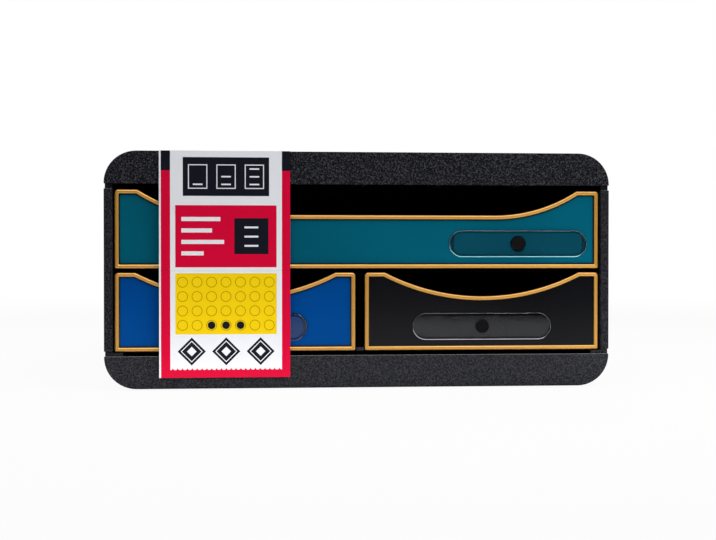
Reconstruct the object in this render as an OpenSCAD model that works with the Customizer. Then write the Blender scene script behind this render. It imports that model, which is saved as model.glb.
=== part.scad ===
// Desktop mini drawers: a casing of two caps, two sides, a back, a shelf and a divider holds
// one wide drawer over two half-width ones. Each drawer is a tray that hangs in guide grooves,
// with a glossy front panel held in a rim, a clear label holder and a scooped finger notch.
// Millimetres. X runs across the front, -Y points out of the drawers, Z is up from the desk.

/* [Casing] */
// Width of the casing
body_w = 278; // [250:1:330]
// Depth of the casing, front to back
body_d = 347; // [310:1:400]
// Height from the desk to the top
body_h = 130; // [122:1:160]
// Height of the base cap and of the top cap
band_h = 17.8; // [15:0.1:22]
// Radius of the long outer edges of the caps
corner_r = 17.5; // [8:0.5:22]
// Wall of the caps
cap_wall = 2.4; // [1.8:0.1:3]
// Thickness of the side panels
side_t = 4.6; // [4.2:0.1:7]
// Thickness of the back panel
back_t = 2.5; // [1.5:0.1:4]
// Thickness of the shelf between the rows
shelf_t = 2; // [1.6:0.1:3]
// Thickness of the divider between the two lower drawers
divider_t = 3; // [2:0.1:4]
// Thickness of the stiffening ribs inside the caps
rib_t = 1.6; // [1:0.1:2.4]
// Height of the recessed neck that parts each cap from the side panels
neck_h = 2.6; // [1:0.1:4]
// How far the neck stands back from the outer faces
neck_inset = 0.6; // [0.3:0.1:1.4]

/* [Casing joints] */
// How far the side and back panels reach into the caps
tongue_h = 4; // [2:0.5:5]
// Depth of the grooves in the side panels that hold the shelf and the back
groove_d = 1.6; // [1:0.1:2.4]
// How far the divider reaches down into its channel in the base cap
channel_d = 6; // [3:0.5:9]
// Length of each divider tab that passes up through the shelf
tab_l = 14; // [8:1:24]
// How far the divider's front edge stands behind the front walls of the caps
divider_set = 0.6; // [0.3:0.1:4]
// How far the divider's foot rises past the bottom edges of the lower fronts
divider_foot_rise = 1.9; // [0.5:0.1:4]
// Gap between the divider's foot and the front on each side of it
divider_foot_gap = 0.3; // [0.3:0.1:1]
// How far the divider's foot stands back from the faces of the rims
divider_foot_set = 0.5; // [0.2:0.1:2]
// Width of the foot that each side panel stands on, measured from the outer face
foot_flange_w = 10; // [8:0.5:16]
// Gap between that foot and the drawer front over it
foot_flange_gap = 0.4; // [0.3:0.1:1]
// Clearance of each push fit
push_fit = 0.15; // [0.05:0.05:0.25]

/* [Feet] */
// Diameter of the rubber feet
foot_d = 14; // [8:0.5:20]
// Thickness of the rubber feet
foot_t = 2; // [1.4:0.1:3]
// How far the feet stand proud of the base cap
foot_proud = 0.8; // [0.5:0.1:1.2]
// Clearance round a foot in its recess
foot_fit = 0.05; // [0.05:0.05:0.2]
// Wall of the pad that surrounds a foot's recess
pad_wall = 2; // [1:0.5:4]
// Distance of a foot's centre from the side of the casing
foot_in_x = 34; // [34:1:60]
// Distance of a foot's centre from the front or the back of the casing
foot_in_y = 24; // [16:1:60]

/* [Drawer fronts] */
// Gap between the upper front and the top cap
top_gap = 3; // [2:0.1:5]
// Gap between the upper and the lower fronts
row_gap = 2.1; // [1:0.1:4]
// Gap between the lower fronts and the base cap
bottom_gap = 2.3; // [1.5:0.1:4]
// Gap between a front and the side panel beside it
side_gap = 0.9; // [0.5:0.1:1.5]
// Gap between the two lower fronts
lower_gap = 5; // [4:0.1:8]
// How far the rims stand back from the front of the casing
rim_set = 1.5; // [0.5:0.1:3]
// Width of the rim round a front
rim_w = 2.5; // [2:0.1:4]
// Wall of the rim beside the panel's edge
rim_wall = 1.2; // [0.8:0.1:1.6]
// How far the panel lies behind the rim's face
panel_recess = 1.5; // [0.8:0.1:2.5]
// Thickness of the front panels
panel_t = 2.2; // [1.5:0.1:3.5]
// Radius of the top outer corners of a front
front_top_r = 2; // [0.5:0.1:3]
// Radius of the bottom outer corners of a front
front_bottom_r = 0.9; // [0.3:0.1:3]

/* [Finger notches] */
// Width of the shoulders beside the notch of the upper front
top_shoulder = 12.4; // [8:0.1:20]
// Depth of the notch in the upper front
top_notch_d = 13.6; // [8:0.1:18]
// Radius of the two arcs that end the upper notch
top_notch_r = 84.5; // [30:0.5:110]
// Width of the shoulders beside the notch of a lower front
lower_shoulder = 11.2; // [8:0.1:20]
// Depth of the notch in a lower front
lower_notch_d = 13.2; // [8:0.1:18]
// Radius that softens the corner between notch and shoulder
shoulder_r = 1.6; // [0.4:0.1:3]

/* [Label holders] */
// Length of a label holder
holder_w = 77.8; // [60:0.1:90]
// Height of a label holder
holder_h = 14.8; // [12:0.1:18]
// Length of the rounded end of a label holder
holder_end = 7; // [4:0.1:7.2]
// How far a holder stands proud of its panel
holder_proud = 1.2; // [0.8:0.1:2.4]
// How deep a holder sits in its panel
holder_seat = 0.6; // [0.3:0.1:1]
// Wall of the holder round the pocket for a paper label
holder_wall = 1.6; // [1:0.1:2.4]
// Depth of the pocket for a paper label
label_pocket = 0.8; // [0.4:0.1:1]
// Diameter of the tray's stud that carries a holder
stud_d = 7.2; // [5:0.1:9]
// How far the stud ends behind the holder's face
stud_set = 0.4; // [0.1:0.1:0.8]
// Gap between the stud and the panel round it
stud_gap = 0.9; // [0.3:0.1:1.4]
// Thickness of the leg at each end of a holder
leg_t = 2; // [1.2:0.1:3]
// How far the legs stand inside the holder's outline
leg_in = 0.7; // [0.4:0.1:1.2]
// Height of the upper holder's centre over the bottom of its front
top_holder_z = 13.7; // [12:0.1:16]
// Distance of the upper holder's centre from the right end of its front
top_holder_in = 45.2; // [43:0.1:130]
// Height of a lower holder's centre over the bottom of its front
lower_holder_z = 13.1; // [12:0.1:16]

/* [Trays] */
// Wall of a tray
tray_wall = 1.8; // [1.2:0.1:3]
// Floor of a tray
tray_floor = 1.8; // [1.2:0.1:3]
// Thickness of the tray's own front wall, which the panel lies on
plate_t = 2.2; // [1.5:0.1:4]
// How far the tray's front wall stands inside the rim's outline
plate_inset = 0.3; // [0.1:0.1:1]
// Height of a tray's underside over the bottom edge of its front
tray_lift = 1.2; // [0.9:0.1:3]
// Room between a tray's wall and whatever is over it
headroom = 4.4; // [3.6:0.1:6]
// Room behind a closed tray
tray_back_gap = 4; // [2:0.5:12]

/* [Guides and stops] */
// How far a guide rail stands out from its wall
guide_w = 4; // [3:0.1:6]
// Thickness of a guide rail
guide_t = 2.4; // [1.6:0.1:3]
// Thickness of the flange that runs between two guide rails
flange_t = 2.4; // [1.6:0.1:3]
// Height of the flange over the tray's underside
flange_z = 26; // [18:0.5:28]
// Play above and below the flange
guide_play = 0.4; // [0.3:0.05:0.7]
// Play between a guide rail and the tray's wall
slide_gap = 0.6; // [0.4:0.05:1]
// Gap between a closed front and the ends of the guide rails
close_gap = 0.3; // [0.3:0.05:0.6]
// How far a drawer slides out before its lug meets the stop
travel = 255; // [180:5:270]
// Width of the stop and of the lug
stop_w = 11; // [6:0.5:16]
// Thickness of the stop and of the lug
stop_t = 3; // [2:0.5:5]
// Distance of the stop from the middle of its drawer, to the left
stop_x = 11.5; // [8:0.5:24]
// How far the stop hangs down
stop_drop = 2.9; // [2.2:0.1:3.2]

/* [Hanging cards] */
// Distance of the cards' left edge from the left side of the casing
card_in = 29.7; // [15:0.1:36]
// Width of the cards
card_w = 70.8; // [60:0.5:80]
// Thickness of the cards
card_t = 0.5; // [0.3:0.1:1]
// Gap between the cards and the casing
card_gap = 1; // [0.6:0.1:2]
// Height of the lower card's bottom edge over the desk
card_bottom = 7; // [3:0.5:16]
// Gap between the upper and the lower card
card_split = 0.3; // [0.3:0.1:1.5]
// Width of the tab that hooks a card over its front
hook_w = 24; // [12:1:34]
// Length of the tab's end behind the front
hook_drop = 8; // [4:0.5:12]

/* [Hidden] */
$fn = 96;

cut = 1;            // how far a cutter runs past the face that it opens
merge = 0.8;        // how far a feature is sunk into the wall that carries it
rail_space = 3;     // free length at the back end of each guide rail
edge_flat = 0.3;    // least upright wall under the rounding of a cap
least_r = 0.1;      // least radius of a front's corner
arc_fn = 240;       // facets of a notch's long arcs

// Heights of the two seams, and the space between the caps
seam_low = foot_proud + band_h;
seam_top = body_h - band_h;
cap_corner = min(corner_r, band_h - edge_flat);
cap_inner_r = cap_corner - cap_wall;

// Drawer fronts
side_in = body_w / 2 - side_t;
front_h = (seam_top - seam_low - top_gap - row_gap - bottom_gap) / 2;
top_front_w = 2 * (side_in - side_gap);
lower_front_w = (top_front_w - lower_gap) / 2;
lower_x = (lower_front_w + lower_gap) / 2;
lower_z = seam_low + bottom_gap;
upper_z = lower_z + front_h + row_gap;

// Notches: a flat between two arcs above, one arc across the whole notch below
top_arc_dx = sqrt(pow(top_notch_r, 2) - pow(top_notch_r - top_notch_d, 2));
top_flat = top_front_w / 2 - top_shoulder - top_arc_dx;
lower_chord = lower_front_w / 2 - lower_shoulder;
lower_notch_r = (pow(lower_chord, 2) + pow(lower_notch_d, 2)) / (2 * lower_notch_d);

// Layers of a front, from the casing's front plane backwards
front_y = -body_d / 2;
rim_y = front_y + rim_set;
panel_y = rim_y + panel_recess;
plate_y = panel_y + panel_t;
tray_y = plate_y + plate_t;
guide_y = tray_y + close_gap;

// Back of the casing
back_y = body_d / 2 - cap_wall - push_fit - back_t;
tray_back_y = back_y - tray_back_gap;
guide_back_y = back_y - rail_space;

// Shelf and divider
shelf_z = upper_z - row_gap / 2 - shelf_t / 2;
shelf_over = max(0, (shelf_t - row_gap) / 2);
shelf_half_w = side_in + groove_d - push_fit;
divider_y = front_y + cap_wall + divider_set;
divider_foot_h = lower_z + divider_foot_rise - seam_low;
tab_ys = [for (i = [0:2]) guide_y + (i + 0.5) * (back_y - guide_y) / 3];

// Trays
lower_tray_z = lower_z + tray_lift + shelf_over;
upper_tray_z = upper_z + tray_lift + shelf_over;
lower_tray_top = shelf_z - headroom;
upper_tray_top = seam_top - headroom;
side_room = guide_w + slide_gap;
flange_w = guide_w - slide_gap;
top_tray_w = 2 * (side_in - side_room);
lower_bay_in = divider_t / 2;
lower_tray_w = side_in - lower_bay_in - 2 * side_room;
lower_tray_x = (side_in + lower_bay_in) / 2;

// Stops
stop_clear = 0.3;
stop_back_y = tray_back_y - stop_t - travel - stop_clear;
lug_clear = 0.5;

// Ribs of the caps
rib_pitch = side_in / 3;
cross_ys = concat(
    [for (i = [0:2]) stop_back_y - stop_t + rib_t / 2 + i * (back_y - stop_back_y) / 3],
    [back_y - push_fit - rib_t / 2]
);

// Holders
holder_arc_r = (pow(holder_h / 2, 2) + pow(holder_end, 2)) / (2 * holder_end);
top_holder_x = top_front_w / 2 - top_holder_in;

// Cards
card_left = card_in - body_w / 2;
card_x = card_left + card_w / 2;
card_back_y = front_y - card_gap;
card_mid_z = lower_z + front_h + row_gap / 2;

// How far the cap's curved inner wall has come inwards at a height over the seam
function wall_sag(h) =
    h <= band_h - cap_corner ? 0
    : cap_inner_r - sqrt(pow(cap_inner_r, 2) - pow(h - band_h + cap_corner, 2));

// Height of a lower notch over its lowest point, at a distance from its middle
function lower_arc_rise(dx) = lower_notch_r - sqrt(pow(lower_notch_r, 2) - pow(dx, 2));

tongue_out = body_w / 2 - cap_wall - push_fit - wall_sag(tongue_h);
back_half_w = min(shelf_half_w, tongue_out);

casing_color = [0.16, 0.16, 0.18];
inner_color = [0.1, 0.1, 0.11];
rubber_color = [0.08, 0.08, 0.08];
gold_color = [0.78, 0.62, 0.34];
teal_color = [0.02, 0.36, 0.44];
blue_color = [0.02, 0.26, 0.56];
black_color = [0.12, 0.12, 0.13];
clear_color = [0.75, 0.8, 0.82, 0.45];
card_color = [0.86, 0.1, 0.24];

// A flat shape in X and Z, given a thickness from y0 back to y1
module slab(y0, y1) {
    translate([0, y1, 0])
        rotate([90, 0, 0])
            linear_extrude(height = y1 - y0)
                children();
}

// A box between two corners
module box(low, high) {
    translate(low)
        cube(high - low);
}

// Cross-section of a cap over its seam, drawn inset from the outer face
module cap_section(inset) {
    half = body_w / 2 - inset;
    h = band_h - inset;
    r = cap_corner - inset;
    intersection() {
        union() {
            square([2 * half, 2 * (h - r)], center = true);
            square([2 * (half - r), 2 * h], center = true);
            for (s = [-1, 1])
                translate([s * (half - r), h - r])
                    circle(r);
        }
        translate([-half, 0])
            square([2 * half, h]);
    }
}

// A cap: a shell with rounded long edges, open at the seam, with ribs inside.
// The top cap and the base cap are the same moulding, one of them turned over.
module cap() {
    back = body_d / 2;
    difference() {
        slab(-back, back)
            cap_section(0);
        slab(cap_wall - back, back - cap_wall) {
            cap_section(cap_wall);
            translate([cap_wall - body_w / 2, -cut])
                square([body_w - 2 * cap_wall, 2 * cut]);
        }
    }
    intersection() {
        slab(cap_wall / 2 - back, back - cap_wall / 2)
            cap_section(cap_wall / 2);
        cap_ribs();
    }
}

// Long ribs, the channel for the divider, the inner walls of the tongue slots and cross ribs
module cap_ribs() {
    channel = divider_t / 2 + push_fit;
    slot_in = side_in - push_fit;
    y0 = cap_wall / 2 - body_d / 2;
    y1 = back_y - push_fit;
    for (s = [-1, 1]) {
        for (i = [1:2]) {
            x0 = s * i * rib_pitch - rib_t / 2;
            box([x0, y0, 0], [x0 + rib_t, y1, band_h]);
            box([x0, y0, tongue_h], [x0 + rib_t, body_d / 2 - cap_wall / 2, band_h]);
        }
        mirror([s > 0 ? 0 : 1, 0, 0]) {
            box([channel, y0, 0], [channel + rib_t, y1, band_h]);
            box([slot_in - rib_t, y0, 0], [slot_in, y1, band_h]);
        }
    }
    difference() {
        for (y = cross_ys)
            box([-slot_in + merge, y - rib_t / 2, 0], [slot_in - merge, y + rib_t / 2, band_h]);
        box([-channel, -body_d, -cut], [channel, body_d, channel_d]);
    }
}

// Moves a shape to the axis of one foot; sx and sy are the signs of its X and Y
module at_foot(sx, sy) {
    translate([sx * (body_w / 2 - foot_in_x), sy * (body_d / 2 - foot_in_y), 0])
        children();
}

// One round rubber foot
module foot(sx, sy) {
    color(rubber_color)
        at_foot(sx, sy)
            cylinder(d = foot_d, h = foot_t);
}

// The pad inside the base cap that thickens its floor over a foot
module foot_pad() {
    translate([0, 0, foot_proud + cap_wall / 2])
        cylinder(d = foot_d + 2 * pad_wall, h = cap_wall / 2 + foot_t - foot_proud);
}

// The recess that a foot is pressed into
module foot_recess() {
    translate([0, 0, -cut])
        cylinder(d = foot_d + 2 * foot_fit, h = cut + foot_t);
}

// A stop that hangs from the ceiling of a bay, just left of the drawer's middle
module hanging_stop(x, ceiling) {
    box([x - stop_x - stop_w / 2, stop_back_y - stop_t, ceiling - stop_drop],
        [x - stop_x + stop_w / 2, stop_back_y, ceiling + merge]);
}

module top_cap() {
    color(casing_color) {
        translate([0, 0, seam_top])
            cap();
        hanging_stop(0, seam_top);
    }
}

module base_cap() {
    color(casing_color)
        difference() {
            union() {
                translate([0, 0, seam_low])
                    mirror([0, 0, 1])
                        cap();
                for (sx = [-1, 1], sy = [-1, 1])
                    at_foot(sx, sy)
                        foot_pad();
            }
            for (sx = [-1, 1], sy = [-1, 1])
                at_foot(sx, sy)
                    foot_recess();
        }
}

// Two rails that hold a tray's flange between them, on a wall whose face lies at x and
// looks along dir
module guide_pair(x, dir, tray_z) {
    low = tray_z + flange_z - guide_play - guide_t;
    high = tray_z + flange_z + flange_t + guide_play;
    x0 = min(x - dir * merge, x + dir * guide_w);
    x1 = max(x - dir * merge, x + dir * guide_w);
    for (z = [low, high])
        box([x0, guide_y, z], [x1, guide_back_y, z + guide_t]);
}

// The right side panel; the left one is its mirror image
module side_panel() {
    outer = body_w / 2;
    front = body_d / 2;
    difference() {
        union() {
            box([side_in, -front, seam_low + neck_h], [outer, front, seam_top - neck_h]);
            box([side_in, neck_inset - front, seam_low],
                [outer - neck_inset, front - neck_inset, seam_top]);
            box([side_in, cap_wall + push_fit - front, seam_low - tongue_h],
                [tongue_out, front - cap_wall - push_fit, seam_top + tongue_h]);
            box([outer - foot_flange_w, neck_inset - front, seam_low],
                [side_in + merge, guide_back_y, seam_low + min(neck_h, bottom_gap - foot_flange_gap)]);
            for (z = [lower_tray_z, upper_tray_z])
                guide_pair(side_in, -1, z);
        }
        box([side_in - cut, guide_y - push_fit, shelf_z],
            [side_in + groove_d, back_y + cut, shelf_z + shelf_t + push_fit]);
        box([side_in - cut, back_y - push_fit / 2, 0],
            [side_in + groove_d, back_y + back_t + push_fit / 2, body_h]);
    }
}

module left_side_panel() {
    color(casing_color)
        mirror([1, 0, 0])
            side_panel();
}

module right_side_panel() {
    color(casing_color)
        side_panel();
}

module back_panel() {
    color(inner_color)
        box([-back_half_w, back_y, seam_low - tongue_h],
            [back_half_w, back_y + back_t, seam_top + tongue_h]);
}

module mid_shelf() {
    color(inner_color) {
        difference() {
            box([-shelf_half_w, guide_y, shelf_z], [shelf_half_w, back_y - push_fit, shelf_z + shelf_t]);
            for (y = tab_ys)
                box([-divider_t / 2 - push_fit, y - tab_l / 2 - push_fit, shelf_z - cut],
                    [divider_t / 2 + push_fit, y + tab_l / 2 + push_fit, shelf_z + shelf_t + cut]);
        }
        for (s = [-1, 1])
            hanging_stop(s * lower_tray_x, shelf_z);
    }
}

module centre_divider() {
    half = divider_t / 2;
    foot_half = lower_gap / 2 - divider_foot_gap;
    color(inner_color) {
        box([-half, divider_y, seam_low - channel_d], [half, back_y - push_fit, shelf_z]);
        for (y = tab_ys)
            box([-half, y - tab_l / 2, shelf_z - merge], [half, y + tab_l / 2, shelf_z + shelf_t]);
        for (s = [-1, 1])
            guide_pair(s * half, s, lower_tray_z);
        box([-foot_half, rim_y + divider_foot_set, seam_low],
            [foot_half, divider_y + divider_t, seam_low + divider_foot_h]);
    }
}

// Outline of a front, from the middle of its bottom edge. The outline is drawn inset by a
// given amount all round, and the notch grows by as much. flat is half the notch's flat.
// The corner between notch and shoulder is rounded on the outer outlines and sharp within.
module front_outline(w, flat, arc_r, depth, inset) {
    top = front_h - inset;
    r = arc_r + inset;
    arc_z = front_h - depth + arc_r;
    soft = shoulder_r - inset;
    knee_x = flat + sqrt(pow(r, 2) - pow(arc_z - top, 2));
    soft_x = flat + sqrt(pow(r + soft, 2) - pow(arc_z - top + soft, 2));
    touch = soft / (r + soft);
    softened = inset < shoulder_r / 2;
    difference() {
        soft_rectangle(w - 2 * inset, inset, top, front_bottom_r - inset, front_top_r - inset);
        for (x = flat > 0 ? [-flat, flat] : [0])
            translate([x, arc_z])
                circle(r, $fn = arc_fn);
        if (softened)
            for (s = [-1, 1])
                polygon([
                    [s * soft_x, top - soft],
                    [s * soft_x, top + cut],
                    [s * (knee_x - cut), top + cut],
                    [s * (soft_x + (flat - soft_x) * touch),
                        top - soft + (arc_z - top + soft) * touch]
                ]);
        if (flat > 0)
            translate([-flat, front_h - depth - inset])
                square([2 * flat, depth + 2 * inset + cut]);
    }
    if (softened)
        for (s = [-1, 1])
            translate([s * soft_x, top - soft])
                circle(soft);
}

// A rectangle from z0 to z1, centred on X, with its own radius below and above
module soft_rectangle(w, z0, z1, r_low, r_high) {
    low = max(r_low, least_r);
    high = max(r_high, least_r);
    translate([-w / 2, z0 + low])
        square([w, z1 - z0 - low - high]);
    translate([low - w / 2, z0])
        square([w - 2 * low, low + cut]);
    translate([high - w / 2, z1 - high - cut])
        square([w - 2 * high, high + cut]);
    for (s = [-1, 1]) {
        translate([s * (w / 2 - low), z0 + low])
            circle(low);
        translate([s * (w / 2 - high), z1 - high])
            circle(high);
    }
}

module upper_outline(inset) {
    translate([0, upper_z])
        front_outline(top_front_w, top_flat, top_notch_r, top_notch_d, inset);
}

module lower_outline(side, inset) {
    translate([side * lower_x, lower_z])
        front_outline(lower_front_w, 0, lower_notch_r, lower_notch_d, inset);
}

// Outline of a label holder round its centre: a bar with round ends
module holder_outline(inset) {
    half_h = holder_h / 2 - inset;
    arc_x = holder_w / 2 - holder_arc_r;
    intersection() {
        union() {
            square([2 * arc_x, 2 * half_h], center = true);
            for (s = [-1, 1])
                translate([s * arc_x, 0])
                    circle(holder_arc_r - inset);
        }
        square([holder_w + cut, 2 * half_h], center = true);
    }
}

// Outline of the legs at the two ends of a holder, grown by a clearance
module leg_outline(grow) {
    difference() {
        holder_outline(leg_in - grow);
        square([holder_w - 2 * (leg_in + leg_t + grow), holder_h + cut], center = true);
    }
}

// A clear label holder: it is pushed over the tray's stud, and the legs at its ends stand in
// slots in the panel and keep it from turning
module label_holder(x, z) {
    color(clear_color)
        translate([x, 0, z])
            difference() {
                union() {
                    difference() {
                        slab(panel_y - holder_proud, panel_y + holder_seat)
                            holder_outline(0);
                        slab(panel_y + holder_seat - label_pocket, panel_y + holder_seat + cut)
                            holder_outline(holder_wall);
                    }
                    slab(panel_y - holder_proud / 2, plate_y - push_fit)
                        leg_outline(0);
                }
                slab(panel_y - holder_proud - cut, plate_y)
                    circle(d = stud_d + 2 * push_fit);
            }
}

// What a label holder needs in its panel: a seat, two slots for its legs and room round the stud
module holder_seat_cut(x, z) {
    translate([x, 0, z]) {
        slab(panel_y - cut, panel_y + holder_seat)
            holder_outline(-push_fit);
        slab(panel_y, plate_y + cut) {
            leg_outline(push_fit);
            circle(d = stud_d + 2 * stud_gap);
        }
    }
}

// The stud on a tray's front wall that passes through the panel and carries the label holder
module holder_stud(x, z) {
    translate([x, 0, z])
        slab(panel_y - holder_proud + stud_set, plate_y + merge)
            circle(d = stud_d);
}

// The tray of a drawer behind its front wall, centred on x between two guide pairs
module tray_box(x, w, z, top, ceiling) {
    half = w / 2;
    lug_x = x - stop_x;
    difference() {
        union() {
            box([x - half, tray_y - merge, z], [x + half, tray_back_y, top]);
            box([x - half - flange_w, tray_y - merge, z + flange_z],
                [x + half + flange_w, tray_back_y, z + flange_z + flange_t]);
        }
        box([x - half + tray_wall, tray_y - 2 * merge, z + tray_floor],
            [x + half - tray_wall, tray_back_y - tray_wall, top + cut]);
    }
    box([lug_x - stop_w / 2, tray_back_y - stop_t, z + tray_floor / 2],
        [lug_x + stop_w / 2, tray_back_y, ceiling - lug_clear]);
}

module top_tray() {
    color(inner_color) {
        tray_box(0, top_tray_w, upper_tray_z, upper_tray_top, seam_top);
        slab(plate_y, tray_y)
            upper_outline(plate_inset);
        holder_stud(top_holder_x, upper_z + top_holder_z);
    }
}

module lower_tray(side) {
    color(inner_color) {
        tray_box(side * lower_tray_x, lower_tray_w, lower_tray_z, lower_tray_top, shelf_z);
        slab(plate_y, tray_y)
            lower_outline(side, plate_inset);
        holder_stud(side * lower_x, lower_z + lower_holder_z);
    }
}

module lower_left_tray() {
    lower_tray(-1);
}

module lower_right_tray() {
    lower_tray(1);
}

module top_front_panel() {
    color(teal_color)
        difference() {
            slab(panel_y, plate_y)
                upper_outline(rim_wall + push_fit);
            holder_seat_cut(top_holder_x, upper_z + top_holder_z);
        }
}

module lower_front_panel(side) {
    difference() {
        slab(panel_y, plate_y)
            lower_outline(side, rim_wall + push_fit);
        holder_seat_cut(side * lower_x, lower_z + lower_holder_z);
    }
}

module lower_left_front_panel() {
    color(blue_color)
        lower_front_panel(-1);
}

module lower_right_front_panel() {
    color(black_color)
        lower_front_panel(1);
}

// A rim: a frame whose front lip holds the panel against the tray
module top_rim() {
    color(gold_color)
        difference() {
            slab(rim_y, plate_y)
                upper_outline(0);
            slab(rim_y - cut, plate_y)
                upper_outline(rim_w);
            slab(panel_y, plate_y + cut)
                upper_outline(rim_wall);
        }
}

module lower_rim(side) {
    color(gold_color)
        difference() {
            slab(rim_y, plate_y)
                lower_outline(side, 0);
            slab(rim_y - cut, plate_y)
                lower_outline(side, rim_w);
            slab(panel_y, plate_y + cut)
                lower_outline(side, rim_wall);
        }
}

module lower_left_rim() {
    lower_rim(-1);
}

module lower_right_rim() {
    lower_rim(1);
}

module top_label_holder() {
    label_holder(top_holder_x, upper_z + top_holder_z);
}

module lower_left_label_holder() {
    label_holder(-lower_x, lower_z + lower_holder_z);
}

module lower_right_label_holder() {
    label_holder(lower_x, lower_z + lower_holder_z);
}

// A printed card with a folded tab that hooks over the edge of a notch. edge_z is where the
// tab lies on the rim.
module label_card(z0, z1, x, edge_z) {
    hook_y = tray_y + push_fit;
    color(card_color) {
        box([card_left, card_back_y - card_t, z0], [card_left + card_w, card_back_y, z1]);
        box([x - hook_w / 2, card_back_y - card_t / 2, edge_z],
            [x + hook_w / 2, hook_y + card_t, edge_z + card_t]);
        box([x - hook_w / 2, hook_y, edge_z - hook_drop],
            [x + hook_w / 2, hook_y + card_t, edge_z + card_t]);
    }
}

module upper_label_card() {
    edge = upper_z + front_h - top_notch_d;
    hook_x = max(card_x, hook_w / 2 - top_flat);
    label_card(card_mid_z + card_split / 2, body_h, hook_x, edge);
}

module lower_label_card() {
    edge = lower_z + front_h - lower_notch_d + lower_arc_rise(hook_w / 2);
    label_card(card_bottom, card_mid_z - card_split / 2, -lower_x, edge);
}

top_cap();
base_cap();
left_side_panel();
right_side_panel();
back_panel();
mid_shelf();
centre_divider();
foot(-1, -1);  // foot_front_left
foot(1, -1);  // foot_front_right
foot(-1, 1);  // foot_rear_left
foot(1, 1);  // foot_rear_right
top_tray();
top_front_panel();
top_rim();
top_label_holder();
lower_left_tray();
lower_left_front_panel();
lower_left_rim();
lower_left_label_holder();
lower_right_tray();
lower_right_front_panel();
lower_right_rim();
lower_right_label_holder();
upper_label_card();
lower_label_card();
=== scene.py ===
"""Desktop mini drawers: a grained black casing with one wide drawer over two half-width ones.
Each drawer has a glossy coloured front in a gold rim, a clear label holder and a dark tray."""

import math

import bmesh
import bpy
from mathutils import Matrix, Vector


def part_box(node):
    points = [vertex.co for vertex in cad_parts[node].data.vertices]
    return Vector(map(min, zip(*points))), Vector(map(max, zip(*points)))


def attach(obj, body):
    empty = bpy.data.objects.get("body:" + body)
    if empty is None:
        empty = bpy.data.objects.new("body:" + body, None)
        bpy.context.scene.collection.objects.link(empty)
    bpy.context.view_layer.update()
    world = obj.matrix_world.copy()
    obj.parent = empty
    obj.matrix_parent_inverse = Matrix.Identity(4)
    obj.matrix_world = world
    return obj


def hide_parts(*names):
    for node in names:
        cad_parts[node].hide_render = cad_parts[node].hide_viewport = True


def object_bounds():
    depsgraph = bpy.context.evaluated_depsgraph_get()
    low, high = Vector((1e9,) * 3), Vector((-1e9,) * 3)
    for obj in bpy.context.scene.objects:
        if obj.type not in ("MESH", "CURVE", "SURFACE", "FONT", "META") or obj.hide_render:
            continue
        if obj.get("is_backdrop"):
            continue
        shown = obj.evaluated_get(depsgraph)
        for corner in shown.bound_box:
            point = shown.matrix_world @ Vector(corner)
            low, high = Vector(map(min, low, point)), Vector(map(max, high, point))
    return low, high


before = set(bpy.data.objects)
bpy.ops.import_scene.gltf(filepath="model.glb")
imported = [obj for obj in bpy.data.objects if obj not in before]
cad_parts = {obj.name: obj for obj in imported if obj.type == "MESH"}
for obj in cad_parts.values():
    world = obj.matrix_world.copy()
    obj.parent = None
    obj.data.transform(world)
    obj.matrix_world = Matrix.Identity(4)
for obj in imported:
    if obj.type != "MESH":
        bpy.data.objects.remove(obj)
cad_low, cad_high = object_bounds()
scene = bpy.context.scene
scene.view_settings.view_transform = "Standard"

# ---------------------------------------------------------------- Camera
# The camera stands a little left of the middle, at about the height of the upper drawer, and
# looks slightly to the right and down, from two thirds of a metre in front of the casing.
camera_at = Vector((-0.05235, -0.8235, 0.07291))
camera_turn = math.radians(4.488)    # towards +X
camera_tilt = math.radians(-0.669)   # below the horizon
sensor_width = 36.0
frame_width = 716
focal_pixels = 1188.5
near_clip = 0.01

camera_data = bpy.data.cameras.new("camera")
camera_data.sensor_width = sensor_width
camera_data.lens = focal_pixels / frame_width * sensor_width
camera_data.clip_start = near_clip
camera = bpy.data.objects.new("camera", camera_data)
camera.location = camera_at
camera.rotation_euler = (math.radians(90) + camera_tilt, 0, -camera_turn)
scene.collection.objects.link(camera)
scene.camera = camera

# ---------------------------------------------------------------- Studio
# The casing stands on a white table in a dim room, which to the camera goes on for ever; to the
# light that it throws back, its paper is white only near the casing, a painted pool of light.
# Soft lamps hang overhead, on the right and behind. Two more lie on the table in front, and
# light the casing from below as a bright table would.
floor_size = 12.0
table_near, table_far = 0.25, 0.80     # the paper is painted white up to here, and dark from here on
mirror_near, mirror_far = 0.75, 1.10   # the same for what a glossy surface shows of it
paper_bright, paper_dim = 0.92, 0.15
mirror_bright, dim_studio = 0.45, 0.03
seen_near, seen_far = 0.20, 1.5        # from here on the camera sees more and more plain white
seen_glow = 0.94
room_light = 0.30
sky_low, sky_high = 0.1, 0.4           # clear plastic shows the dim side brightening over these slopes
dim_until, white_from = -0.5, 0.5      # from front to back, a mirror shows the room dim and then white
patch_lift = 0.001                     # how far the lamps on the table lie above it


def new_tree(name):
    """A material with an empty node tree, and its output node."""
    material = bpy.data.materials.new(name)
    material.use_nodes = True
    tree = material.node_tree
    tree.nodes.clear()
    return material, tree, tree.nodes.new("ShaderNodeOutputMaterial")


def coordinates(tree, kind):
    """One of the coordinates that a surface or the world can be painted by."""
    return tree.nodes.new("ShaderNodeTexCoord").outputs[kind]


def split(tree, vector):
    """The X, Y and Z of a vector socket."""
    node = tree.nodes.new("ShaderNodeSeparateXYZ")
    tree.links.new(vector, node.inputs[0])
    return node.outputs


def calc(tree, operation, *values):
    """A Math node over sockets and numbers."""
    node = tree.nodes.new("ShaderNodeMath")
    node.operation = operation
    for socket, value in zip(node.inputs, values):
        if isinstance(value, (int, float)):
            socket.default_value = value
        else:
            tree.links.new(value, socket)
    return node.outputs[0]


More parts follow.
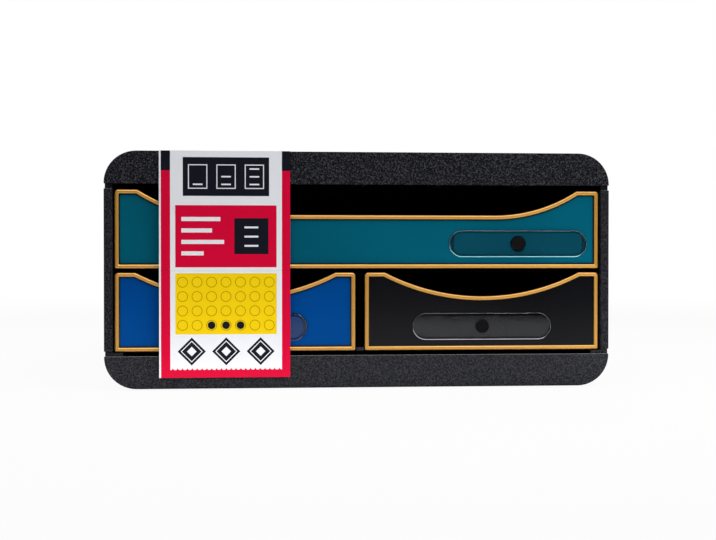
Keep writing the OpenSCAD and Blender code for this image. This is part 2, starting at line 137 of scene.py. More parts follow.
def fade(tree, source, start, end, low=0.0, high=1.0):
    """A value that goes smoothly from low to high while its source goes from start to end."""
    node = tree.nodes.new("ShaderNodeMapRange")
    node.interpolation_type = "SMOOTHSTEP"
    for name, value in (("From Min", start), ("From Max", end), ("To Min", low), ("To Max", high)):
        if isinstance(value, (int, float)):
            node.inputs[name].default_value = value
        else:
            tree.links.new(value, node.inputs[name])
    tree.links.new(source, node.inputs["Value"])
    return node.outputs[0]


def choose(tree, factor, first, second, kind="FLOAT"):
    """Mixes two sockets, numbers or colours by a factor socket."""
    node = tree.nodes.new("ShaderNodeMix")
    node.data_type = kind
    tree.links.new(factor, node.inputs["Factor"])
    ends = [socket for socket in node.inputs if socket.enabled and socket.name in ("A", "B")]
    for socket, value in zip(ends, (first, second)):
        if isinstance(value, bpy.types.NodeSocket):
            tree.links.new(value, socket)
        else:
            socket.default_value = (*value, 1) if kind == "RGBA" else value
    return next(socket for socket in node.outputs if socket.enabled)


def light_mix(tree, factor, first, second):
    """Mixes two shaders by a factor socket."""
    node = tree.nodes.new("ShaderNodeMixShader")
    tree.links.new(factor, node.inputs["Fac"])
    tree.links.new(first, node.inputs[1])
    tree.links.new(second, node.inputs[2])
    return node.outputs[0]


def ray_kinds(tree):
    """Three masks: of the camera's rays, of those that come on from a mirror or through a clear
    piece, and of the latter alone."""
    path = tree.nodes.new("ShaderNodeLightPath").outputs
    lens_ray = path["Is Transmission Ray"]
    return path["Is Camera Ray"], calc(tree, "MAXIMUM", path["Is Glossy Ray"], lens_ray), lens_ray


table_white, tree, output = new_tree("table_white")
from_casing = tree.nodes.new("ShaderNodeVectorMath")
from_casing.operation = "LENGTH"
tree.links.new(coordinates(tree, "Object"), from_casing.inputs[0])
away = from_casing.outputs["Value"]
camera_ray, mirror_ray, _ = ray_kinds(tree)
# painted pool of light: the paper is white near the casing and dark further off
grey = tree.nodes.new("ShaderNodeCombineColor")
brightness = fade(tree, away, table_near, table_far, paper_bright, paper_dim)
for channel in ("Red", "Green", "Blue"):
    tree.links.new(brightness, grey.inputs[channel])
paper = tree.nodes.new("ShaderNodeBsdfDiffuse")
tree.links.new(grey.outputs[0], paper.inputs["Color"])
glow = tree.nodes.new("ShaderNodeEmission")
reflected = fade(tree, away, mirror_near, mirror_far, mirror_bright, dim_studio)
tree.links.new(choose(tree, camera_ray, reflected, 1.0), glow.inputs["Strength"])
seen = fade(tree, away, seen_near, seen_far, seen_glow)
tree.links.new(
    light_mix(tree, choose(tree, camera_ray, mirror_ray, seen), paper.outputs[0], glow.outputs[0]),
    output.inputs["Surface"])

bpy.ops.object.select_all(action="DESELECT")
bpy.ops.mesh.primitive_plane_add(size=floor_size, location=(0, 0, 0))
table = bpy.context.object
table.name = "table"
table.data.materials.append(table_white)
table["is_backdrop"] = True

# the camera sees white all round, and in a mirror the side behind the camera is dim
world = bpy.data.worlds.new("studio")
scene.world = world
world.use_nodes = True
tree = world.node_tree
tree.nodes.clear()
output = tree.nodes.new("ShaderNodeOutputWorld")
room = tree.nodes.new("ShaderNodeBackground")
room.inputs["Color"].default_value = (room_light, room_light, room_light, 1)
white = tree.nodes.new("ShaderNodeBackground")
white.inputs["Color"].default_value = (1, 1, 1, 1)
direction = split(tree, coordinates(tree, "Generated"))
camera_ray, mirror_ray, lens_ray = ray_kinds(tree)
above = fade(tree, direction["Z"], sky_low, sky_high, dim_studio, room_light)
dim_side = choose(tree, lens_ray, dim_studio, above)
reflected = fade(tree, direction["Y"], dim_until, white_from, dim_side, 1.0)
tree.links.new(choose(tree, camera_ray, reflected, 1.0), white.inputs["Strength"])
tree.links.new(
    light_mix(tree, calc(tree, "MAXIMUM", camera_ray, mirror_ray), room.outputs[0], white.outputs[0]),
    output.inputs["Surface"])


def softbox(name, place, aim, width, height, power, shines=True):
    """A rectangular soft lamp at a place, turned towards a point, and hidden from the camera.
    One that doesn't shine is hidden from mirrors too."""
    lamp_data = bpy.data.lights.new(name, "AREA")
    lamp_data.shape = "RECTANGLE"
    lamp_data.size = width
    lamp_data.size_y = height
    lamp_data.energy = power
    lamp = bpy.data.objects.new(name, lamp_data)
    lamp.location = place
    lamp.rotation_euler = (Vector(aim) - Vector(place)).to_track_quat("-Z", "Y").to_euler()
    lamp.visible_camera = False
    lamp.visible_transmission = False
    lamp.visible_glossy = shines
    scene.collection.objects.link(lamp)


softbox("overhead_lamp", place=(0.1, -0.70, 0.85), aim=(0, -0.2, 0.05), width=1.0, height=0.5, power=5.4)
softbox("right_lamp", place=(1.3, -1.0, 0.9), aim=(0, -0.17, 0.05), width=1.0, height=1.0, power=4.3)
for name, x, y, width, height, power in (("table_patch", 0.0, -0.201, 0.40, 0.05, 0.085),
                                         ("right_patch", 0.20, -0.28, 0.16, 0.16, 0.20)):
    softbox(name, (x, y, patch_lift), (x, y, 1), width, height, power, shines=False)
softbox("back_lamp", place=(0.3, 1.6, 1.2), aim=(0, 0.1, 0.05), width=1.2, height=1.0, power=9)

# ---------------------------------------------------------------- Casing caps
# The top cap and the base cap are one moulding of black plastic, one of them turned over, but
# the top cap gets a darker copy of the material as painted shade and the base cap a lighter
# copy as painted light. Their outer faces carry a coarse spark-eroded grain, which is smoother
# along the upper front edges with a painted highlight there, and the side panels' tongues are
# pushed into slots in them.
end_round = 0.0005       # radius of the edges round their front and back ends
seam_step = 0.0004       # the last short step of the rounded outline, next to the seam
coarse = 0.0001          # how near to a face or an edge a point counts as on it
weld = 2e-6              # how near to each other two corners count as one
flat_angle = math.radians(0.4)      # faces that turn less than this are one flat face
sharp_angle = math.radians(24)      # an edge that turns more than this can be rounded
smooth_angle = math.radians(32)     # an edge that turns less than this is shaded smooth
grain_size = 0.0009
cap_grain_depth = 0.0015
pit_detail, pit_raggedness = 2.5, 0.65
tone_heights = (0.34, 0.5, 0.66)    # where between pit and crest the three tones lie
pit_height, crest_height = 0.3, 0.7
pit_rough, crest_rough, polished_rough = 0.62, 0.4, 0.3
polish_and_highlight_front = (-0.12, -0.4)        # the polish and its painted highlight set in, and are full, where a face turns this far
polish_and_highlight_up = (0.2, 0.5)              # to the front, and this far up
# near-black painted shade, for places that lie in deep shade
painted_shade_black = (0.0004, 0.0004, 0.0005)
no_neck = 10.0                      # a height that nothing reaches


def activate(piece):
    """Selects a piece, and no other, for the operators that follow."""
    bpy.ops.object.select_all(action="DESELECT")
    piece.select_set(True)
    bpy.context.view_layer.objects.active = piece


def copy_of(node, name, whole=True):
    """A piece with the shape of a CAD node. Its loose triangles are joined, and where whole is
    true they become whole flat faces."""
    piece = bpy.data.objects.new(name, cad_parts[node].data.copy())
    scene.collection.objects.link(piece)
    activate(piece)
    bpy.ops.mesh.customdata_custom_splitnormals_clear()
    bpy.ops.object.mode_set(mode="EDIT")
    bpy.ops.mesh.select_all(action="SELECT")
    bpy.ops.mesh.remove_doubles(threshold=weld)
    if whole:
        bpy.ops.mesh.dissolve_limited(angle_limit=flat_angle)
    bpy.ops.object.mode_set(mode="OBJECT")
    piece.data.materials.clear()
    return piece


def round_edges(piece, wanted, width, segments=3):
    """Rounds the sharp edges of a piece whose two ends both lie where wanted() says."""
    activate(piece)
    bpy.ops.object.mode_set(mode="EDIT")
    bpy.ops.mesh.select_all(action="DESELECT")
    mesh = bmesh.from_edit_mesh(piece.data)
    for edge in mesh.edges:
        if len(edge.link_faces) == 2 and edge.calc_face_angle() > sharp_angle:
            if all(wanted(end.co) for end in edge.verts):
                edge.select_set(True)
    bmesh.update_edit_mesh(piece.data)
    bpy.ops.mesh.bevel(offset=width, segments=segments, affect="EDGES", clamp_overlap=True)
    bpy.ops.object.mode_set(mode="OBJECT")


def complete(piece, material, slot, body, *nodes, even=True):
    """Gives a piece its finish, smooths its rounded edges and puts it in the CAD nodes' place.
    Even shading keeps flat faces flat beside a rounded edge."""
    piece.data.materials.append(material)
    activate(piece)
    bpy.ops.object.shade_smooth_by_angle(angle=smooth_angle)
    if even:
        bpy.ops.object.modifier_add(type="WEIGHTED_NORMAL")
        piece.modifiers[-1].keep_sharp = True
        bpy.ops.object.modifier_apply(modifier=piece.modifiers[-1].name)
    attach(piece, body)
    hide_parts(*nodes)


def add(tree, kind, **values):
    """A node whose named inputs hold the given values."""
    node = tree.nodes.new(kind)
    for name, value in values.items():
        node.inputs[name.replace("_", " ")].default_value = value
    return node


def surface(tree, output, **values):
    """A Principled shader joined to the material's output, its named sockets set."""
    shader = add(tree, "ShaderNodeBsdfPrincipled", **values)
    tree.links.new(shader.outputs[0], output.inputs["Surface"])
    return shader


def ramp(tree, source, stops):
    """A colour ramp over a value: stops are (place, colour) pairs."""
    node = tree.nodes.new("ShaderNodeValToRGB")
    while len(node.color_ramp.elements) < len(stops):
        node.color_ramp.elements.new(0.5)
    for element, (place, colour) in zip(node.color_ramp.elements, stops):
        element.position = place
        element.color = (*colour, 1)
    tree.links.new(source, node.inputs["Fac"])
    return node.outputs["Color"]


def noise(tree, place, size, detail=2.0, roughness=0.5):
    """A value that varies over the surface in patches of about the given size in metres."""
    node = add(tree, "ShaderNodeTexNoise", Scale=1 / size, Detail=detail, Roughness=roughness)
    tree.links.new(place, node.inputs["Vector"])
    return node.outputs["Fac"]


def bump(tree, shader, height, distance):
    """Makes a value the height of the surface, in metres from its lowest to its highest."""
    node = add(tree, "ShaderNodeBump", Distance=distance)
    tree.links.new(height, node.inputs["Height"])
    tree.links.new(node.outputs["Normal"], shader.inputs["Normal"])


def grained_plastic(name, dark, mid, pale, edge_highlight, gloss, grain, depth, neck=no_neck):
    """Black moulded plastic with a spark-eroded grain: pits of about one size, the pale ones painted
    in as glints where the grain catches the light. Upper edges in front are smoother and carry a
    painted highlight in their colour, and above neck it is painted black as shade."""
    material, tree, output = new_tree(name)
    shader = surface(tree, output, Specular_IOR_Level=gloss)
    place = coordinates(tree, "Object")
    pits = noise(tree, place, grain, pit_detail, pit_raggedness)
    tone = ramp(tree, pits, tuple(zip(tone_heights, (dark, mid, pale))))
    # painted shade: above neck the colour is near-black
    in_neck = calc(tree, "GREATER_THAN", split(tree, place)["Z"], neck)
    tone = choose(tree, in_neck, tone, painted_shade_black, "RGBA")
    rough = fade(tree, pits, pit_height, crest_height, pit_rough, crest_rough)
    facing = split(tree, coordinates(tree, "Normal"))
    # where a front edge turns up: a painted highlight in the colour, and a lower roughness
    edge = calc(tree, "MULTIPLY",
                fade(tree, facing["Y"], *polish_and_highlight_front), fade(tree, facing["Z"], *polish_and_highlight_up))
    tree.links.new(choose(tree, edge, tone, edge_highlight, "RGBA"), shader.inputs["Base Color"])
    tree.links.new(choose(tree, edge, rough, polished_rough), shader.inputs["Roughness"])
    bump(tree, shader, pits, depth)
    return material


# painted shade: the top cap's copy of the casing plastic is darker, with only a faint painted edge
# highlight
shaded_top_plastic = grained_plastic(
    "shaded_top_plastic", dark=(0.0001, 0.0001, 0.0004), mid=(0.0090, 0.0093, 0.0128),
    pale=(0.064, 0.066, 0.082), edge_highlight=(0.02, 0.02, 0.024), gloss=0.12,
    grain=grain_size, depth=cap_grain_depth)
# painted light: the base cap's copy is lighter, and its upper front edge carries a bright painted
# highlight line
lit_base_plastic = grained_plastic(
    "lit_base_plastic", dark=(0.0050, 0.0050, 0.0080), mid=(0.0200, 0.0203, 0.0257),
    pale=(0.046, 0.047, 0.057), edge_highlight=(0.26, 0.262, 0.28), gloss=0.2,
    grain=grain_size, depth=cap_grain_depth)

for node, name, casing_plastic in (("top_cap", "top_cap_shell", shaded_top_plastic),
                                   ("base_cap", "base_cap_shell", lit_base_plastic)):
    cap = copy_of(node, name)
    low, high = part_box(node)
    # the short step would leave no room for the rounding, so it closes up
    bpy.ops.object.mode_set(mode="EDIT")
    mesh = bmesh.from_edit_mesh(cap.data)
    for point in mesh.verts:
        for seam in (low.z, high.z):
            if abs(point.co.x) > high.x - coarse and abs(point.co.z - seam) < seam_step:
                point.co.z = seam
    bmesh.update_edit_mesh(cap.data)
    bpy.ops.mesh.select_all(action="SELECT")
    bpy.ops.mesh.remove_doubles(threshold=coarse / 10)
    bpy.ops.object.mode_set(mode="OBJECT")
    round_edges(cap, lambda point: abs(point.y) > high.y - coarse, end_round, segments=4)
    complete(cap, casing_plastic, "casing_plastic", "casing", node)

# ---------------------------------------------------------------- Casing sides
# Each side panel is a moulded plate with the same grain, only shallower. It stands in slots in
# the two caps, and a shadow gap parts it from them. Guide rails run along its inner face.
side_grain_depth = 0.0012
side_round = 0.0004
neck_z = 0.1097          # above this the side panel is painted black as shade, where the top cap shades its upper neck

# its upper front edges carry a painted highlight line, and its upper neck painted shade
side_plastic = grained_plastic(
    "side_plastic", dark=(0.0008, 0.0008, 0.0016), mid=(0.0100, 0.0100, 0.0138),
    pale=(0.038, 0.038, 0.048), edge_highlight=(0.16, 0.162, 0.17), gloss=0.2,
    grain=grain_size, depth=side_grain_depth, neck=neck_z)

for side in ("left", "right"):
    panel = copy_of(side + "_side_panel", side + "_side")
    round_edges(
        panel,
        lambda point: abs(point.x) > cad_high.x - coarse or abs(point.y) > cad_high.y - coarse,
        side_round)
    complete(panel, side_plastic, "side_plastic", "casing", side + "_side_panel")

# ---------------------------------------------------------------- Inner plates
# The back, the shelf between the rows and the divider are flat plates of the same black
# plastic with a smooth satin face, and slide into grooves in the sides and the caps; the shelf
# and the divider get a near-black copy of it as painted shade. Only the divider's small foot,
# which shows between the lower fronts, is grained as the casing is, in the base cap's lighter
# copy that is painted light.
satin_grain = 0.0012
satin_depth = 0.00003
divider_foot_end = -0.171           # the foot's front stands further forward than this


def dress(node, material):
    """Gives a CAD node that stays in view a finished material."""
    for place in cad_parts[node].material_slots:
        place.material = material


inner_plastic = grained_plastic(
    "inner_plastic", dark=(0.0010, 0.0010, 0.0011), mid=(0.0016, 0.0016, 0.0018),
    pale=(0.0028, 0.0028, 0.0030), edge_highlight=(0.0028, 0.0028, 0.0030), gloss=0.2,
    grain=satin_grain, depth=satin_depth)
# painted shade: a near-black copy for the plates whose fronts lie in shade
shaded_plastic = grained_plastic(
    "shaded_plastic", dark=(0.0001, 0.0001, 0.0001), mid=(0.0003, 0.0003, 0.0003),
    pale=(0.0006, 0.0006, 0.0006), edge_highlight=(0.0006, 0.0006, 0.0006), gloss=0.02,
    grain=satin_grain, depth=satin_depth)
dress("back_panel", inner_plastic)
dress("mid_shelf", shaded_plastic)
divider = copy_of("centre_divider", "divider_plate")
# parted at the height of the rims' lower edge, above which the front of its foot shows
foot_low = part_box("lower_left_rim")[0].z
bpy.ops.object.mode_set(mode="EDIT")
bpy.ops.mesh.select_all(action="SELECT")
bpy.ops.mesh.bisect(plane_co=(0, 0, foot_low), plane_no=(0, 0, 1))
bpy.ops.object.mode_set(mode="OBJECT")
complete(divider, shaded_plastic, "inner_plastic", "casing", "centre_divider")
divider.data.materials.append(lit_base_plastic)
for face in divider.data.polygons:
    if face.center.y < divider_foot_end and face.center.z > foot_low:
        face.material_index = 1

# ---------------------------------------------------------------- Feet
# Four round rubber feet are pressed into recesses in the base cap, and the casing stands on
# them a little clear of the table.
foot_round = 0.0005
rubber_rough = 0.8
rubber_dark, rubber_pale = (0.01, 0.01, 0.01), (0.03, 0.03, 0.03)
mottle_size, mottle_height = 0.002, 0.00005


def two_tone(tree, value, dark, pale, low=0.3, high=0.7):
    """A colour that goes from dark to pale while a value goes from low to high."""
    return ramp(tree, value, ((low, dark), (high, pale)))


foot_rubber, tree, output = new_tree("foot_rubber")
shader = surface(tree, output, Roughness=rubber_rough)
mottle = noise(tree, coordinates(tree, "Object"), mottle_size, detail=3)
tree.links.new(two_tone(tree, mottle, rubber_dark, rubber_pale), shader.inputs["Base Color"])
bump(tree, shader, mottle, mottle_height)
for place in ("front_left", "front_right", "rear_left", "rear_right"):
    foot = copy_of("foot_" + place, "rubber_foot_" + place)
    round_edges(foot, lambda point: point.z < coarse, foot_round)
    complete(foot, foot_rubber, "foot_rubber", "casing", "foot_" + place)

# ---------------------------------------------------------------- Trays
# Each tray is moulded in smooth black plastic, with a flange along each side that hangs in
# the guide rails. Its front wall carries the coloured panel.
drawers = ("top", "lower_left", "lower_right")
for drawer in drawers:
    tray = copy_of(drawer + "_tray", drawer + "_tray_moulding")
    complete(tray, inner_plastic, "tray_plastic", drawer + "_drawer", drawer + "_tray")

# ---------------------------------------------------------------- Front panels
# Each front is a thin plate of glossy plastic, coloured through: teal on the wide drawer, blue
# and black on the small ones. The rim clamps it against the front wall of its tray.
panel_rough = 0.16
drift_size = 0.06        # how far apart the panel's paler and darker places are
panel_ripple = 0.004     # how far apart the ripples in its gloss are
ripple_height = 0.00001
square_on = 0.99         # a face whose normal has this much of an axis faces straight along it


def panel_plastic(name, dark, pale, gloss):
    """Smooth coloured plastic: the tone drifts a little across the face."""
    material, tree, output = new_tree(name)
    shader = surface(tree, output, Roughness=panel_rough, Specular_IOR_Level=gloss)
    place = coordinates(tree, "Object")
    drift = noise(tree, place, drift_size, detail=1.5)
    colour = two_tone(tree, drift, dark, pale, low=0.35, high=0.65)
    tree.links.new(colour, shader.inputs["Base Color"])
    bump(tree, shader, noise(tree, place, panel_ripple), ripple_height)
    return material


teal = panel_plastic("teal_panel", dark=(0.0004, 0.088, 0.140), pale=(0.0006, 0.104, 0.166), gloss=0.15)
blue = panel_plastic("blue_panel", dark=(0.0002, 0.049, 0.226), pale=(0.0003, 0.060, 0.268), gloss=0.05)
black = panel_plastic(
    "black_panel", dark=(0.0020, 0.0022, 0.0034), pale=(0.0036, 0.0038, 0.0056), gloss=0.40)

for drawer, coloured in zip(drawers, (teal, blue, black)):
    dress(drawer + "_front_panel", coloured)
    # the tray's wall behind it shows in the label holder's slots, and is painted the panel's colour
    # there, a painted stand-in for the panel's light that the clear legs carry
    wall_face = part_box(drawer + "_front_panel")[1].y
    tray = bpy.data.objects[drawer + "_tray_moulding"]
    tray.data.materials.append(coloured)
    for face in tray.data.polygons:
        if face.normal.y < -square_on and abs(face.center.y - wall_face) < coarse:
            face.material_index = 1

# ---------------------------------------------------------------- Rims
# Each rim is a moulded frame with a rounded bead, sprayed with gold lacquer. It is pressed over
# the edge of the tray's front wall and clamps the coloured panel to it. A thin black lip over
# the panel's edge and the bare black strips beside the bead are painted shade along its edges.
bead_half = 0.00108      # half of the bead's width
bead_shoulder = 0.00017  # flat strip on each side of it, left bare black as painted shade
bead_rise = 0.0008       # how far it stands out from them
bead_end = math.radians(72)         # how far round the quarter of an ellipse its rings climb
bead_rings = 5
rim_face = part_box("top_rim")[0].y
# width and thickness of the black strip of painted shade at the rim's inner foot
shade_lip_w, shade_lip_t = 0.0004, 0.0003
bar_h = 0.006            # up to this height a wall that faces up is the bottom bar's inner one
up_facing = 0.3          # a wall whose normal has more than this of Z faces up
upright = 0.1            # a wall whose normal has less than this of Y stands square on the panel
off_wall = 0.0015        # this far off an outer wall lies outside the rim's box
gold_dark, gold_pale = (0.79, 0.385, 0.064), (0.87, 0.440, 0.081)
gold_rough, gold_metal = 0.3, 0.5
coat_rough = 0.12
fleck_size, fleck_raggedness = 0.0012, 0.7
gold_ripple = 0.003

gold_rim, tree, output = new_tree("gold_rim")
shader = surface(tree, output, Metallic=gold_metal, Roughness=gold_rough,
                 Coat_Weight=1.0, Coat_Roughness=coat_rough)
place = coordinates(tree, "Object")
flecks = noise(tree, place, fleck_size, detail=3, roughness=fleck_raggedness)
gold = two_tone(tree, flecks, gold_dark, gold_pale)
# only the bead is lacquered; behind its foot the plastic is bare black, which is also painted shade
# along the rim's edges
bare_and_shade = calc(tree, "GREATER_THAN", split(tree, place)["Y"], rim_face + bead_rise - coarse)
tree.links.new(choose(tree, bare_and_shade, gold, painted_shade_black, "RGBA"), shader.inputs["Base Color"])
bump(tree, shader, noise(tree, place, gold_ripple), ripple_height)


def bead(rim):
    """Turns the flat front of a rim into a bead: the front sinks back, and rings inset from it
    climb along a quarter of an ellipse from both edges."""
    activate(rim)
    bpy.ops.object.mode_set(mode="EDIT")
    bpy.ops.mesh.select_all(action="DESELECT")
    mesh = bmesh.from_edit_mesh(rim.data)
    for face in mesh.faces:
        if face.normal.y < -square_on and face.calc_center_median().y < rim_face + coarse:
            face.select_set(True)
    bmesh.update_edit_mesh(rim.data)
    bpy.ops.transform.translate(value=(0, bead_rise, 0))
    bpy.ops.mesh.inset(thickness=bead_shoulder)
    turns = [bead_end * step / bead_rings for step in range(bead_rings + 1)]
    for turn, further in zip(turns, turns[1:]):
        bpy.ops.mesh.inset(
            thickness=bead_half * (math.cos(turn) - math.cos(further)),
            depth=bead_rise / math.sin(bead_end) * (math.sin(further) - math.sin(turn)))
    bpy.ops.object.mode_set(mode="OBJECT")


def shade_lip(rim, low, high, panel_face):
    """Draws a lip out of the foot of the rim's inner walls, flat on the panel: a black strip of painted
    shade.
    """
    activate(rim)
    bpy.ops.object.mode_set(mode="EDIT")
    for cut in (panel_face - shade_lip_t, panel_face):
        bpy.ops.mesh.select_all(action="SELECT")
        bpy.ops.mesh.bisect(plane_co=(0, cut, 0), plane_no=(0, 1, 0), threshold=coarse / 10)
    bpy.ops.mesh.select_all(action="DESELECT")
    mesh = bmesh.from_edit_mesh(rim.data)
    for wall in mesh.faces:
        at = wall.calc_center_median()
        past = at + off_wall * wall.normal
        inner = low.x < past.x < high.x and low.z < past.z < high.z
        if wall.normal.z > up_facing and at.z > low.z + bar_h:
            inner = False
        if inner and abs(wall.normal.y) < upright and panel_face - shade_lip_t < at.y < panel_face:
            wall.select_set(True)
    bmesh.update_edit_mesh(rim.data)
    bpy.ops.mesh.inset(thickness=0, depth=shade_lip_w)
    bpy.ops.object.mode_set(mode="OBJECT")


for drawer in drawers:
    rim = copy_of(drawer + "_rim", drawer + "_gold_rim", whole=False)
    bead(rim)
    low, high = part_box(drawer + "_rim")
    shade_lip(rim, low, high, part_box(drawer + "_front_panel")[0].y)
    complete(rim, gold_rim, "gold_rim", drawer + "_drawer", drawer + "_rim", even=False)

# ---------------------------------------------------------------- Label holders
# Each holder is one clear moulding with a shallow pocket for a label behind its face. It sits
# in a seat in the panel, fitted over a stud of the tray, and a leg at each end passes through.
holder_round = 0.0007
stud_room = 0.006        # edges this near to the middle belong to the hole and stay sharp
plastic_ior = 1.49
# the clear body's tint, and the painted shade of its right end
clear_tint, end_shade_tint = (0.93, 0.95, 0.96), (0.01, 0.012, 0.015)
clear_gloss, clear_rough, line_rough = 0.5, 0.04, 0.35
clear_ripple = 0.006
passing_tint = (0.95, 0.95, 0.95, 1)     # what a lamp's light keeps on its way through
faint_highlight_share = 0.1        # how much of the painted highlight line there is where the edge doesn't face down
# each part of the rounded edge sets in, and is full, where its face turns this far
edge_round = (-0.97, -0.80)         # away from the front
edge_outward = (-0.10, -0.30)       # still to the front, which leaves out the sides
edge_downward = (0.0, -0.6)
shaded_end_rightward = (0.25, 0.45)


def clear_plastic(name, line_highlight_colour, line_highlight_share):
    """Clear moulded plastic. Along the bottom edge a pale line in the given colour is painted in, a
    painted highlight that stands for light entering at the top edge and leaving at the bottom
    one: the share of it that isn't clear. The right end is painted dark and without gloss, as
    painted shade."""
    material, tree, output = new_tree(name)
    shader = add(tree, "ShaderNodeBsdfPrincipled", IOR=plastic_ior)
    facing = split(tree, coordinates(tree, "Normal"))
    rounded = fade(tree, facing["Y"], *edge_round)
    outward = fade(tree, facing["Y"], *edge_outward)
    downward = fade(tree, facing["Z"], *edge_downward, low=faint_highlight_share)
    # where the bottom edge carries the painted highlight line
    pale = calc(tree, "MULTIPLY", calc(tree, "MULTIPLY", rounded, outward), downward)
    # painted shade: the right end's rounded edge is dark and without gloss
    shaded_end = calc(tree, "MULTIPLY", rounded, fade(tree, facing["X"], *shaded_end_rightward))
    clear = choose(tree, shaded_end, choose(tree, pale, 1.0, 1.0 - line_highlight_share), 0.0)
    tint = choose(tree, pale, clear_tint, line_highlight_colour, "RGBA")
    tint = choose(tree, shaded_end, tint, end_shade_tint, "RGBA")
    tree.links.new(clear, shader.inputs["Transmission Weight"])
    tree.links.new(choose(tree, shaded_end, clear_gloss, 0.0), shader.inputs["Specular IOR Level"])
    tree.links.new(choose(tree, pale, clear_rough, line_rough), shader.inputs["Roughness"])
    tree.links.new(tint, shader.inputs["Base Color"])
    bump(tree, shader, noise(tree, coordinates(tree, "Object"), clear_ripple), ripple_height)
    passing = add(tree, "ShaderNodeBsdfTransparent", Color=passing_tint)
    shadow_ray = tree.nodes.new("ShaderNodeLightPath").outputs["Is Shadow Ray"]
    tree.links.new(light_mix(tree, shadow_ray, shader.outputs[0], passing.outputs[0]),
                   output.inputs["Surface"])
    return material


# the painted highlight line on each holder takes a tint of the panel behind it
on_teal = clear_plastic("clear_on_teal", line_highlight_colour=(0.40, 0.95, 1.0), line_highlight_share=0.95)
on_blue = clear_plastic("clear_on_blue", line_highlight_colour=(0.45, 0.55, 0.9), line_highlight_share=0.2)
on_black = clear_plastic("clear_on_black", line_highlight_colour=(0.80, 0.82, 0.92), line_highlight_share=0.7)

for drawer, clear_holder in zip(drawers, (on_teal, on_blue, on_black)):
    holder = copy_of(drawer + "_label_holder", drawer + "_clear_holder", whole=False)
    low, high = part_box(drawer + "_label_holder")
    middle = (low + high) / 2
    # parted at the middle, each half of the face round the hole becomes one whole face
    bpy.ops.object.mode_set(mode="EDIT")
    bpy.ops.mesh.select_all(action="SELECT")
    bpy.ops.mesh.bisect(plane_co=middle, plane_no=(1, 0, 0))
    bpy.ops.mesh.mark_seam()
    bpy.ops.mesh.select_all(action="SELECT")
    bpy.ops.mesh.dissolve_limited(angle_limit=flat_angle, delimit={"SEAM"})
    bpy.ops.object.mode_set(mode="OBJECT")
    round_edges(
        holder,
        lambda point: point.y < low.y + coarse and (point - middle).length > stud_room,
        holder_round, segments=4)
    complete(holder, clear_holder, "clear_holder", drawer + "_drawer", drawer + "_label_holder")

# ---------------------------------------------------------------- Cards
# Two cards of glossy printed board hang in front, one hooked over the wide drawer's notch and
# one over the left drawer's. The print is plain blocks, bars, rings and diamonds, placed in
# metres from the cards' left edge and from the table, as (left, right, bottom, top).
seam_left = 0.00005      # the gap that shows between the cards
seam_cut = 0.0003        # the gap between their solids
board_white = (0.78, 0.80, 0.84)
board_bare = (0.62, 0.60, 0.56)
board_shade = 0.97       # the board's darkest mottles against its white
board_rough, board_gloss = 0.3, 0.10
fibre_size = 0.0007
board_ripple, board_ripple_height = 0.0025, 0.000006
ink_crimson = (0.63, 0.0015, 0.036)
ink_black = (0.008, 0.009, 0.016)
ink_yellow = (0.86, 0.60, 0.003)
ink_ochre = (0.42, 0.25, 0.002)
print_low = 0.007
strips = ((0.0010, 0.0060), (0.0663, 0.0710))           # the left and right edge of each
strip_turn, strip_top = 0.1193, 0.131                   # crimson up to here, and black up to here
scallop = 0.00131        # radius of the arches along the foot of the print
foot_edge = 0.0125
cabinet_band = (0.0128, 0.0594, 0.1055, 0.1265)         # black, with small cabinets in white line
cabinets = (0.0208, 0.0361, 0.0514)
cabinet_z, cabinet_half_w, cabinet_half_h = 0.116, 0.0052, 0.0066
outline = 0.0005
handle_half_w, handle_half_h, handle_pitch = 0.0026, 0.0004, 0.0042
title_block = (0.0087, 0.0634, 0.0668, 0.1005)          # crimson, with white bars
bars = ((0.0930, 0.0330), (0.0868, 0.0285), (0.0806, 0.0350), (0.0744, 0.0240))
bar_left, bar_half_h = 0.0120, 0.0011
sign_block = (0.0405, 0.0590, 0.0740, 0.0935)           # black, with short white lines
sign_left, sign_right, sign_rows = 0.0460, 0.0535, (0.0785, 0.0835, 0.0885)
ring_block = (0.0087, 0.0634, 0.0305, 0.0636)           # yellow, with ochre rings and black dots
ring_field = (0.0087, 0.0634, 0.0315, 0.0627)
ring_pitch, ring_r, ring_line, dot_r = 0.0078, 0.0027, 0.0004, 0.0021
dot_field = (0.0243, 0.0477, 0.0315, 0.0393)
diamonds, diamond_z = (0.0175, 0.0361, 0.0547), 0.0212
diamond_r, diamond_ring, diamond_line, diamond_core = 0.0076, 0.0056, 0.0006, 0.0026

printed_card, tree, output = new_tree("printed_card")
shader = surface(tree, output, Roughness=board_rough, Specular_IOR_Level=board_gloss)
place = coordinates(tree, "Object")
parts = split(tree, place)
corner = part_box("lower_label_card")[0]
across = calc(tree, "SUBTRACT", parts["X"], corner.x)
up = parts["Z"]


def block(left, right, bottom, top):
    """1 inside a rectangle of the print."""
    return calc(tree, "MULTIPLY",
                calc(tree, "COMPARE", across, (left + right) / 2, (right - left) / 2),
                calc(tree, "COMPARE", up, (bottom + top) / 2, (top - bottom) / 2))


def ink(colour, mask, pigment):
    """Prints a pigment over the colour that is there, where the mask is 1."""
    return choose(tree, mask, colour, pigment, "RGBA")


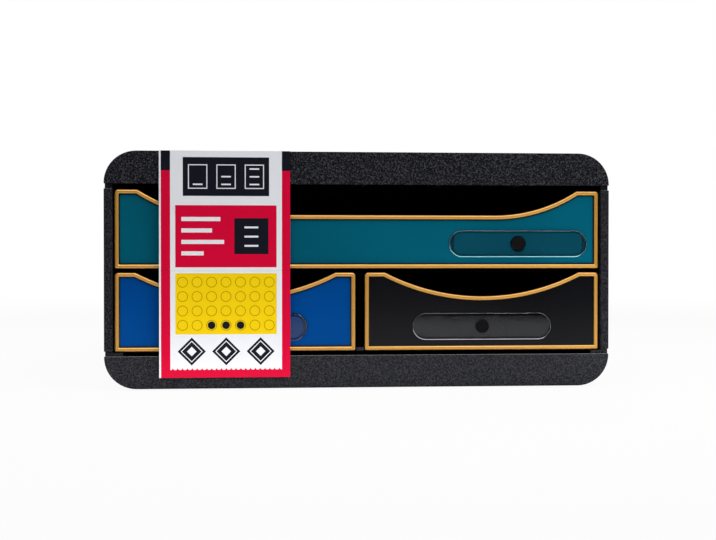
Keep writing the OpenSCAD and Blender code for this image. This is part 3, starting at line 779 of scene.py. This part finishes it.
board_dark = tuple(board_shade * channel for channel in board_white)
colour = two_tone(tree, noise(tree, place, fibre_size, detail=3), board_dark, board_white)
for left, right in strips:
    colour = ink(colour, block(left, right, print_low, strip_turn), ink_crimson)
    colour = ink(colour, block(left, right, strip_turn, strip_top), ink_black)
wave = calc(tree, "PINGPONG", calc(tree, "SUBTRACT", across, strips[0][1]), scallop)
arc = calc(tree, "SQRT", calc(tree, "SUBTRACT", scallop ** 2, calc(tree, "POWER", wave, 2)))
below = calc(tree, "LESS_THAN", up, calc(tree, "SUBTRACT", foot_edge, arc))
foot_block = block(strips[0][0], strips[1][1], 0, foot_edge)
colour = ink(colour, calc(tree, "MULTIPLY", below, foot_block), ink_crimson)

colour = ink(colour, block(*cabinet_band), ink_black)
for shelves, x in enumerate(cabinets, 1):
    for grow, pigment in ((0, board_white), (-outline, ink_black)):
        half_w, half_h = cabinet_half_w + grow, cabinet_half_h + grow
        cabinet = block(x - half_w, x + half_w, cabinet_z - half_h, cabinet_z + half_h)
        colour = ink(colour, cabinet, pigment)
    for row in range(shelves):
        z = cabinet_z + (row - 1) * handle_pitch
        handle = block(x - handle_half_w, x + handle_half_w, z - handle_half_h, z + handle_half_h)
        colour = ink(colour, handle, board_white)

colour = ink(colour, block(*title_block), ink_crimson)
for z, right in bars:
    colour = ink(colour, block(bar_left, right, z - bar_half_h, z + bar_half_h), board_white)
colour = ink(colour, block(*sign_block), ink_black)
for z in sign_rows:
    colour = ink(colour, block(sign_left, sign_right, z - outline, z + outline), board_white)

colour = ink(colour, block(*ring_block), ink_yellow)
offsets = []
for value, start in ((across, ring_field[0]), (up, ring_field[2])):
    swing = calc(tree, "PINGPONG", calc(tree, "SUBTRACT", value, start), ring_pitch / 2)
    offsets.append(calc(tree, "POWER", calc(tree, "SUBTRACT", ring_pitch / 2, swing), 2))
reach = calc(tree, "SQRT", calc(tree, "ADD", *offsets))
rings = calc(tree, "MULTIPLY", block(*ring_field), calc(tree, "COMPARE", reach, ring_r, ring_line / 2))
dots = calc(tree, "MULTIPLY", block(*dot_field), calc(tree, "LESS_THAN", reach, dot_r))
colour = ink(colour, rings, ink_ochre)
colour = ink(colour, dots, ink_black)

for x in diamonds:
    reach = calc(tree, "ADD", calc(tree, "ABSOLUTE", calc(tree, "SUBTRACT", across, x)),
                 calc(tree, "ABSOLUTE", calc(tree, "SUBTRACT", up, diamond_z)))
    colour = ink(colour, calc(tree, "LESS_THAN", reach, diamond_r), ink_black)
    colour = ink(colour, calc(tree, "COMPARE", reach, diamond_ring, diamond_line / 2), board_white)
    colour = ink(colour, calc(tree, "LESS_THAN", reach, diamond_core), board_white)

# only the face is printed: the tabs and the back stay bare board
on_face = calc(tree, "LESS_THAN", parts["Y"], corner.y + coarse)
tree.links.new(choose(tree, on_face, board_bare, colour, "RGBA"), shader.inputs["Base Color"])
bump(tree, shader, noise(tree, place, board_ripple), board_ripple_height)

for half, drawer in (("upper", "top"), ("lower", "lower_left")):
    card = copy_of(half + "_label_card", half + "_card")
    if half == "upper":
        # the upper card reaches down to the lower one, so that they look like one sheet
        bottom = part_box("upper_label_card")[0].z
        for point in card.data.vertices:
            if point.co.z < bottom + coarse:
                point.co.z -= seam_cut - seam_left
    complete(card, printed_card, "printed_card", drawer + "_drawer", half + "_label_card")

low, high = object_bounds()
